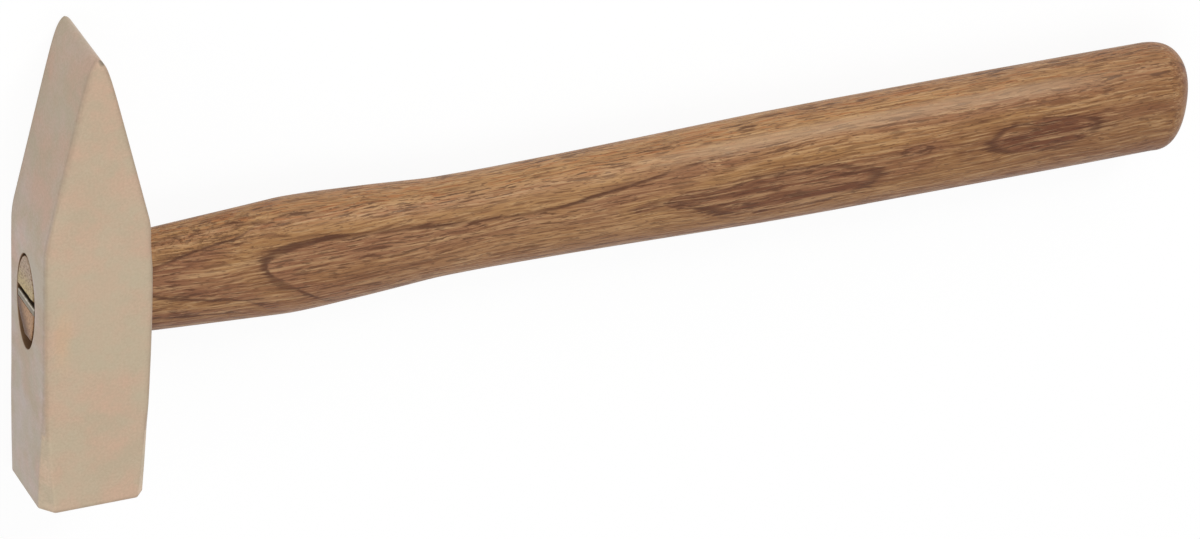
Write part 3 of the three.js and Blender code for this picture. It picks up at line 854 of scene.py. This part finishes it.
woodMarks = {  # bell curves as centre and reach, along X and then across
    "rasped": ((31, 18.257), (17, 24)),  # across in degrees round the axis
    "boldLine": ((51, 8), (2.5, 5)),
    "lostLine": (((76, 13), (-2, 3)), ((50, 11), (-8, 2))),  # across as where it fades and how fast
    "figureSoftening": 0.6,
    "endGrain": (0.35, 0.2), "tenon": (4, 6),  # where they end and over what length
}


def aboveSheet(x, y, z):
    # Height above the sheet, which is a parabola across its crest
    sheet = np.array(growth["sheet"])
    crest, height = (smoothThrough(sheet[:, [0, column]], x, growth["sheetSoftness"]) for column in (1, 2))
    return z - height - (y - crest) ** 2 / growth["spread"]


def figureShape(x, y, z, lifted=False):
    # Round hills over the places of the figures, each 1 high or as high as its lift
    total = 0 * x
    upper = np.clip(z / growth["hillHeight"], 0, 1)
    for centreX, centreY, halfLength, halfWidth, slope, lift in figures:
        dx = (x - centreX) / halfLength
        dy = (y - centreY - slope * (x - centreX)) / halfWidth
        hill = np.exp(-(dx ** 2 + dy ** 2) * growth["hillSteepness"])
        total = total + (lift if lifted else 1) * upper * hill
    return total


def ringNumber(p):
    # How many rings out from the sheet a point lies. Above it the height is scaled so that the
    # handle's crown reaches the given share of a ring. Whole numbers are the dark lines.
    x, y, z = p.T
    countX, countY = growth["crownSamples"]
    alongX = np.linspace(handleSize["endX"], handleHigh.x / mm, countX)
    acrossY = np.linspace(-growth["crownReach"], growth["crownReach"], countY)
    atX, sizesY, sizesZ = np.array(handleSections).T
    halfY, halfZ = (np.interp(alongX, atX, sizes)[:, None] for sizes in (sizesY, sizesZ))
    power = handleSize["gripPower"]
    crown = halfZ * (1 - np.abs(acrossY) ** power) ** (1 / power)
    peaks = aboveSheet(alongX[:, None] + 0 * crown, acrossY * halfY, crown).max(1)
    peak = np.maximum(np.interp(x, alongX, peaks), growth["leastPeak"])
    above = aboveSheet(x, y, z)
    share = smoothThrough(growth["share"], x, growth["shareSoftness"])
    below = smoothThrough(growth["below"], x, growth["belowSoftness"])
    number = np.where(above > 0, above / peak * share, above / below)
    wander = growth["wander"] * softWander(p, growth["wanderLengths"], growth["wanderSeed"])
    return number + wander * np.clip(np.abs(above) * 2, 0, 1) + figureShape(x, y, z, lifted=True)


def storeWoodFields(mesh):
    # The ring number, the rasped patch, the ring line's boldness, the tenon and its sawn end
    marks = woodMarks
    p = pointsOf(mesh)
    x, y, z = p.T
    storeField(mesh, "ring", ringNumber(p))
    alongX, roundAxis = marks["rasped"]
    storeField(mesh, "rasped", hump(x, *alongX) * hump(np.degrees(np.arctan2(z, y)), *roundAxis))
    alongX, acrossY = marks["boldLine"]
    bold = 1 + hump(x, *alongX) * hump(y, *acrossY)
    lost = [hump(x, *alongX) * np.clip((fade - y) / length, 0, 1)
            for alongX, (fade, length) in marks["lostLine"]]
    bold = bold - np.maximum(*lost) - marks["figureSoftening"] * figureShape(x, y, z)
    storeField(mesh, "bold", np.clip(bold, 0, 2))
    for name, offset in (("endGrain", handleSize["endX"]), ("tenon", 0)):
        end, length = marks[name]
        storeField(mesh, name, np.clip((offset + end - x) / length, 0, 1))


woodNoise = {  # scale, detail, roughness, stretch and shift
    "longStreak": (0.62, 3, 0.6, (0.028, 1, 1)),
    "fibre": (2.3, 3, 0.6, (0.034, 1, 1), (9, 4, 2)),
    "patches": (0.13, 3, 0.5, (0.2, 1, 1), (3, 8, 5)),
    "dashes": (1.75, 2, 0.5, (0.085, 1, 1), (40, 3, 9)),
    "specks": (3.0, 1, 0.5, (0.16, 1, 1), (2, 30, 6)),
    "breaks": (0.16, 2, 0.5, (0.6, 1, 1), (5, 50, 1)),
    "torn": (1.5, 3, 0.7, (0.35, 1, 1)),
}
woodLook = {  # colours as they look on a screen
    "line": (80, 46, 28), "rose": (142, 97, 67), "ochre": (163, 120, 75), "late": (132, 90, 57),
    "figure": (104, 62, 40), "dash": (82, 49, 30), "pale": (200, 161, 116), "topLight": (186, 143, 96),
    # shadeInEye is painted shade on the tenon's sides inside the eye
    "orange": (168, 102, 56), "sheen": (184, 152, 120), "shadeInEye": (112, 76, 48),
    "sawn": (186, 162, 138), "sawnLow": (194, 172, 126), "sawnWarm": (184, 142, 104), "bevelShade": (104, 72, 48),
    "dots": (1.9, 3, 0.6),  # scale, detail and roughness of the sawn end's pores
    "ringStops": [(0.0, "rose"), (0.3, "rose"), (0.7, "ochre"), (1.0, "late")],  # inside one ring
    "coats": [  # colour, strength, what it follows, where it begins and where it is full
        ("figure", 1.0, "inFigure"),
        ("figure", 0.55, "longStreak", 0.47, 0.33), ("pale", 0.55, "longStreak", 0.50, 0.66),
        ("rose", 0.6, "patches", 0.50, 0.36), ("ochre", 0.5, "patches", 0.52, 0.68),
        # Painted light and shade: topLight lightens the upward faces and rose darkens the downward ones
        ("topLight", 0.45, "upward"), ("rose", 0.45, "facingY", 0.1, -0.6),
        ("pale", 0.14, "waist"), ("orange", 0.55, "flecks"), ("figure", 0.26, "alongX", 205, 300),
        ("pale", 0.5, "paleFibre"), ("figure", 0.6, "darkFibre"), ("line", 0.85, "ringLine"),
        # sheen is a painted highlight: a paler band along the upper side
        ("dash", 0.8, "pores"), ("sheen", 0.5, "sheenBand"), ("dash", 0.6, "rasped"), ("shadeInEye", 0.5, "tenon")],
    "sawnCoats": [
        ("sawn", 1.0, "height", 3.0, 9.0), ("sawnWarm", 1.0, "height", 0.5, -2.0),
        # bevelShade is painted shade towards the bevel
        ("bevelShade", 1.0, "pastBevel", -5.5, -1.0), ("figure", 0.75, "dots", 0.48, 0.66)],
    "roughness": (0.34, 0.52), "metallic": 0.0, "specular": 0.2, "leastBold": 0.05,
    "poreDepth": -0.10, "fibreHeight": 0.06, "raspDepth": -0.25, "bump": 0.6, "bumpDistance": 1.0,
}
woodReach = {  # where each mask begins and is full and, where it isn't 0 to 1, its values there
    "inFigure": (0.98, 1.06), "figureDepth": (0.62, 0.4, 0.6, 1.0),
    "upward": (0.35, 0.95), "lengthwise": (0.2, 0.75, 1.0, 0.1), "flecks": (0.47, 0.36),
    "paleFibre": (0.48, 0.33), "darkFibre": (0.51, 0.66),
    "line": (0.075, 0.01), "lineGaps": (0.36, 0.58, 0.4, 1.0), "lineAbove": (0.5, 0.8, 1.0, 0.12),
    "lineFaint": (0.3, 0.9, 0.3, 1.0),
    "earlyWood": (0.75, 0.1, 0.45, 1.0), "dashes": (0.555, 0.63), "specks": (0.60, 0.70, 0.0, 0.7),
    "torn": (0.5, 0.62), "roughness": (*noiseRange, *woodLook["roughness"]),
}
woodBands = {  # where each band begins, is full, starts to fade and ends
    "waist": (60, 100, 140, 190), "sheenFacing": (0.55, 0.74, 0.80, 0.93), "sheenAlong": (135, 175, 255, 292),
}
grainBend = {"stretch": (0.035, 0.12, 0.12), "reach": (0.0, 3.0, 3.0)}
fray = {"ring": 0.025, "figure": 0.13, "line": 0.03}  # how far noise jogs each, in rings


def jogged(tree, value, noise, reach):
    # The value pushed up or down by the noise
    return calculate(tree, "ADD", value, remap(tree, noise, *noiseRange, -reach, reach, smooth=False))


def bentPlace(tree, place):
    # The place pushed sideways by slow noise, so that the grain isn't ruled straight
    noise = noiseAt(tree, place, 1.0, stretch=grainBend["stretch"], output="Color")
    centred = vectorMath(tree, "SUBTRACT", noise, (0.5, 0.5, 0.5))
    return vectorMath(tree, "ADD", place, vectorMath(tree, "MULTIPLY", centred, grainBend["reach"]))


def ringTone(tree, part):
    # The tone inside one ring, from rose through ochre to the darker late wood
    ramp = addNode(tree, "ShaderNodeValToRGB", {0: part})
    stops = [(position, screenColor(*woodLook[name])) for position, name in woodLook["ringStops"]]
    elements = ramp.color_ramp.elements
    elements[0].position, elements[0].color = stops[0]
    elements[1].position, elements[1].color = stops[-1]
    for position, color in stops[1:-1]:
        elements.new(position).color = color
    return ramp.outputs[0]


def sawnTone(tree, place):
    # The tenon's sawn end: yellowish, paler towards the peen, warm below the kerf and darkened by
    # painted shade towards the bevel, with round pores
    outY, outZ, distance, _ = pares[0]
    fromAxis = vectorMath(tree, "SUBTRACT", place, (0, 0, axisZ))
    outward = vectorMath(tree, "DOT_PRODUCT", fromAxis, (0, outY, outZ))
    return painted(tree, woodLook["sawnLow"], woodLook, woodLook["sawnCoats"], {
        "height": separate(tree, place)["Y"], "pastBevel": calculate(tree, "SUBTRACT", outward, distance),
        "dots": noiseAt(tree, place, *woodLook["dots"])})


def woodMaterial():
    # Open-grained hardwood. Inside one ring the tone runs from rose to ochre, and a dark line ends
    # it. Fibres, long streaks and short dark pores are noise drawn out along X. Painted light and shade:
    # the upward faces are lighter and golder, the downward ones rosier, a painted sheen band runs along
    # the upper side, and painted shade darkens the tenon inside the eye.
    look = woodLook
    material, tree, shader = newMaterial("oiledHardwood")
    flatPlace = millimetrePlace(tree)
    place = bentPlace(tree, flatPlace)
    noise = {name: noiseAt(tree, place, *settings) for name, settings in woodNoise.items()}
    facing = objectNormal(tree)
    alongX = separate(tree, flatPlace)["X"]

    def reached(name, value):
        return remap(tree, value, *woodReach[name])

    ring = jogged(tree, fieldOf(tree, "ring"), noise["fibre"], fray["ring"])
    part = calculate(tree, "FRACT", ring)
    inFigure = reached("inFigure", jogged(tree, ring, noise["dashes"], fray["figure"]))
    upward = reached("upward", facing["Y"])
    lengthwise = reached("lengthwise", facing["X"])  # fibres and pores fade where the dome cuts them
    # The dark ring line: near a whole ring number, broken along its length, faint on the upper side
    frayed = jogged(tree, ring, noise["dashes"], fray["line"])
    bold = fieldOf(tree, "bold")
    toLine = calculate(tree, "DIVIDE", calculate(tree, "PINGPONG", frayed, 0.5),
                       calculate(tree, "MAXIMUM", bold, look["leastBold"]))
    line = times(tree, reached("line", toLine), reached("lineGaps", noise["breaks"]),
                 reached("lineAbove", facing["Y"]), reached("lineFaint", bold))
    # Short open pores, thicker in the rosy part of the ring
    dashes = times(tree, reached("dashes", noise["dashes"]), reached("earlyWood", part))
    pores = times(tree, calculate(tree, "MAXIMUM", dashes, reached("specks", noise["specks"])), lengthwise)
    rasped = times(tree, fieldOf(tree, "rasped"), reached("torn", noise["torn"]))
    tone = painted(tree, ringTone(tree, part), look, look["coats"], {
        "inFigure": times(tree, inFigure, reached("figureDepth", noise["longStreak"])),
        "longStreak": noise["longStreak"], "patches": noise["patches"],
        "upward": upward, "facingY": facing["Y"], "alongX": alongX,
        "waist": plateau(tree, alongX, *woodBands["waist"]),
        "flecks": times(tree, upward, reached("flecks", noise["dashes"])),
        "paleFibre": times(tree, reached("paleFibre", noise["fibre"]), lengthwise),
        "darkFibre": times(tree, reached("darkFibre", noise["fibre"]), lengthwise),
        "ringLine": line, "pores": pores, "rasped": rasped, "tenon": fieldOf(tree, "tenon"),
        # A painted highlight: the sheen band on the upper side
        "sheenBand": times(tree, plateau(tree, facing["Y"], *woodBands["sheenFacing"]),
                      plateau(tree, alongX, *woodBands["sheenAlong"]))})
    tone = blend(tree, fieldOf(tree, "endGrain"), tone, sawnTone(tree, flatPlace))
    height = weighted(tree, (pores, look["poreDepth"]),
                      (times(tree, noise["fibre"], lengthwise), look["fibreHeight"]),
                      (rasped, look["raspDepth"]))
    finishMaterial(tree, shader, look, tone, reached("roughness", noise["fibre"]), height)
    return material


buildHandle(woodMaterial())

wedgeSize = {
    "outerX": wedgeLow.x / mm, "innerX": wedgeHigh.x / mm, "outerHalf": 0.95, "innerHalf": 0.22,
    "centreY": -0.85, "outerZ": (wedgeLow.z / mm - axisZ, 4.4), "innerZ": (-5.4, wedgeHigh.z / mm - axisZ),
    "barbs": 4, "barbDepth": 0.14, "barbShare": 0.9,  # part of each pitch that a tooth takes up
    "rounding": 0.12, "edgeRadius": 0.18, "edgeShare": 0.8, "bevel": 4, "long": 60, "wide": 40,
    "struck": (0.45, 0.2),  # where the struck end's tone ends and over what length
    "sharpAngle": 40,
}


def buildWedge(material):
    # Rings across X: a flat bar with rounded edges whose half thickness tapers evenly. Along each
    # tooth the thickness falls away to nothing at its end, so the teeth point outwards.
    w = wedgeSize
    length = w["innerX"] - w["outerX"]
    pitch = length / (w["barbs"] + 2)
    teeth = w["outerX"] + pitch * np.arange(1, w["barbs"] + 1)
    plain = np.linspace(w["outerX"] + w["rounding"], w["innerX"] - w["rounding"], w["long"])
    x = np.sort(np.concatenate([plain, teeth, teeth + w["barbDepth"]]))
    behind = x[:, None] - teeth[None, :]
    tooth = pitch * w["barbShare"]
    notch = np.where((behind > -tooth) & (behind <= 0), w["barbDepth"] * (1 + behind / tooth), 0).max(1)
    half = w["outerHalf"] + (x - w["outerX"]) / length * (w["innerHalf"] - w["outerHalf"]) - notch
    turn = quarterTurn(w["bevel"])
    shrink, inward = (w["rounding"] * (1 - wave(turn[:-1])) for wave in (np.sin, np.cos))
    inset = np.concatenate([[w["rounding"]], shrink, 0 * x, shrink[::-1], [w["rounding"]]])
    half = np.concatenate([[0.0], half[0] - shrink, half, half[-1] - shrink[::-1], [0.0]])[:, None]
    x = np.concatenate([[w["outerX"]], w["outerX"] + inward, x, (w["innerX"] - inward)[::-1], [w["innerX"]]])
    lowZ, highZ = (np.interp(x, [w["outerX"], w["innerX"]], pair) for pair in zip(w["outerZ"], w["innerZ"]))
    halfZ = ((highZ - lowZ) / 2 - inset)[:, None]
    # Half the outline is a long side, a quarter turn, the end and a quarter turn back. The other
    # half is the same about the middle.
    radius = np.minimum(w["edgeRadius"], half * w["edgeShare"])
    cornerY = half - radius + radius * np.cos(turn[1:-1])
    cornerZ = halfZ - radius + radius * np.sin(turn[1:-1])
    side = np.linspace(1, -1, w["wide"] + 1)
    outlineY = np.hstack([half + 0 * side, cornerY, radius - half, -cornerY[:, ::-1]])
    outlineZ = np.hstack([(halfZ - radius) * side, -cornerZ, -halfZ, -cornerZ[:, ::-1]])
    y = np.hstack([outlineY, -outlineY]) + w["centreY"]
    z = np.hstack([outlineZ, -outlineZ]) + (highZ + lowZ)[:, None] / 2
    points = np.stack([x[:, None] + 0 * y, y, z], -1)
    wedge = makePiece("wedgeFinished", points, gridFaces(*y.shape), material, w["sharpAngle"])
    end, length = w["struck"]
    struck = np.clip((w["outerX"] + end - pointsOf(wedge.data)[:, 0]) / length, 0, 1)
    storeField(wedge.data, "end", struck)


steelLook = {  # colours as they look on a screen
    # sunkDirtAndShade is oxide and painted shade in the cut; burrAndHighlight is a bright burr with a
    # painted highlight
    "sunkDirtAndShade": (74, 62, 50), "struck": (142, 130, 112), "burrAndHighlight": (228, 220, 204), "dull": (104, 94, 80),
    "dullShare": 0.5, "dullSize": 2.5, "rubSize": 1.2,
    "burr": (-0.35, -0.2),  # the burr begins at these heights on the end
    "brush": (6.0, 3, 0.5, (0.1, 1, 0.1)),  # scale, detail, roughness and stretch
    "roughness": (0.4, 0.6), "metallic": 0.35, "specular": 0.5, "bump": 0.3, "bumpDistance": 0.05,
}


def steelMaterial():
    # Brushed mild steel: dark where it sits in the cut, from oxide and painted shade, grey on its struck
    # end, and bright on the burr, which is partly a painted highlight
    look = steelLook
    material, tree, shader = newMaterial("brushedSteel")
    place = millimetrePlace(tree)
    end = fieldOf(tree, "end")
    dull = useGroup(tree, softClouds, {"Place": place, "Size": look["dullSize"]})["Cloud"]
    struck = blend(tree, times(tree, dull, look["dullShare"]), look["struck"], look["dull"])
    # The bright burr along the struck end's upper edge, partly a painted highlight
    burr = times(tree, remap(tree, separate(tree, place)["Y"], *look["burr"]), end)
    rub = useGroup(tree, edgeRub, {"Place": place, "Edge": burr, "Size": look["rubSize"]})["Rub"]
    tone = blend(tree, rub, blend(tree, end, look["sunkDirtAndShade"], struck), look["burrAndHighlight"])
    brush = noiseAt(tree, place, *look["brush"])
    rough = remap(tree, brush, *noiseRange, *look["roughness"])
    finishMaterial(tree, shader, look, tone, rough, brush)
    return material


buildWedge(steelMaterial())
